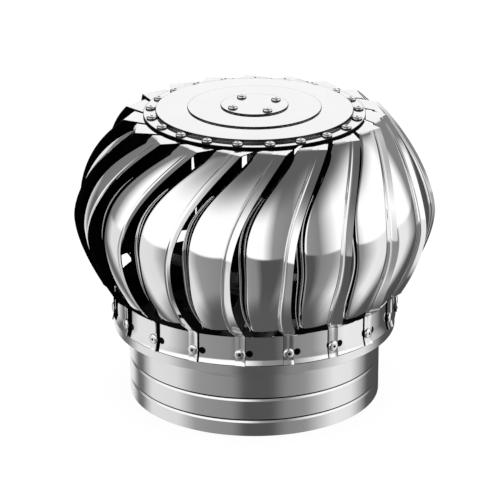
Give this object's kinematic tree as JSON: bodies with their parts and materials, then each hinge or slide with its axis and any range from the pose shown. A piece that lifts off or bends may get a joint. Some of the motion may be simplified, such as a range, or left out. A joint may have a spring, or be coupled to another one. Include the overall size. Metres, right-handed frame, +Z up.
{
  "type": "roof turbine ventilator",
  "caption": "Wind-driven roof ventilator: a bladed round rotor under a stepped cap turns freely on a shaft above a round grooved duct neck.",
  "frame": {"origin": "centre of the throat's bottom edge", "axes": "+Z up along the shaft, -Y towards the front view"},
  "size_m": [0.2836, 0.2835, 0.2404],
  "materials": {
    "polished_stainless": "mirror-polished stainless steel",
    "satin_stainless": "satin rolled stainless steel",
    "galvanised_steel": "galvanised pressed steel",
    "bearing_steel": "ground bright steel",
    "zinc_plated_steel": "bright zinc-plated steel"
  },
  "bodies": {
    "base": {"throat": "satin_stainless", "base_bracket": "galvanised_steel", "shaft": "bearing_steel", "shaft_washers": "zinc_plated_steel", "shaft_nuts": "zinc_plated_steel", "inner_races": "bearing_steel", "spacer_tubes": "bearing_steel"},
    "rotor": {"blade_01": "polished_stainless", "blade_02": "polished_stainless", "blade_03": "polished_stainless", "blade_04": "polished_stainless", "blade_05": "polished_stainless", "blade_06": "polished_stainless", "blade_07": "polished_stainless", "blade_08": "polished_stainless", "blade_09": "polished_stainless", "blade_10": "polished_stainless", "blade_11": "polished_stainless", "blade_12": "polished_stainless", "blade_13": "polished_stainless", "blade_14": "polished_stainless", "blade_15": "polished_stainless", "blade_16": "polished_stainless", "blade_17": "polished_stainless", "blade_18": "polished_stainless", "blade_19": "polished_stainless", "cap": "polished_stainless", "lower_ring": "satin_stainless", "ring_rivets": "polished_stainless", "cap_rivets": "polished_stainless", "rotor_bracket": "galvanised_steel", "lower_housing": "galvanised_steel", "upper_housing": "galvanised_steel", "outer_races": "bearing_steel", "cap_screws": "polished_stainless", "cap_screw_nuts": "zinc_plated_steel", "housing_rivets": "zinc_plated_steel"}
  },
  "joints": [
    {"name": "rotor_spin", "type": "hinge", "parent": "base", "child": "rotor", "pos_m": [0, 0, 0.15], "axis": [0, 0, 1], "continuous": true}
  ]
}
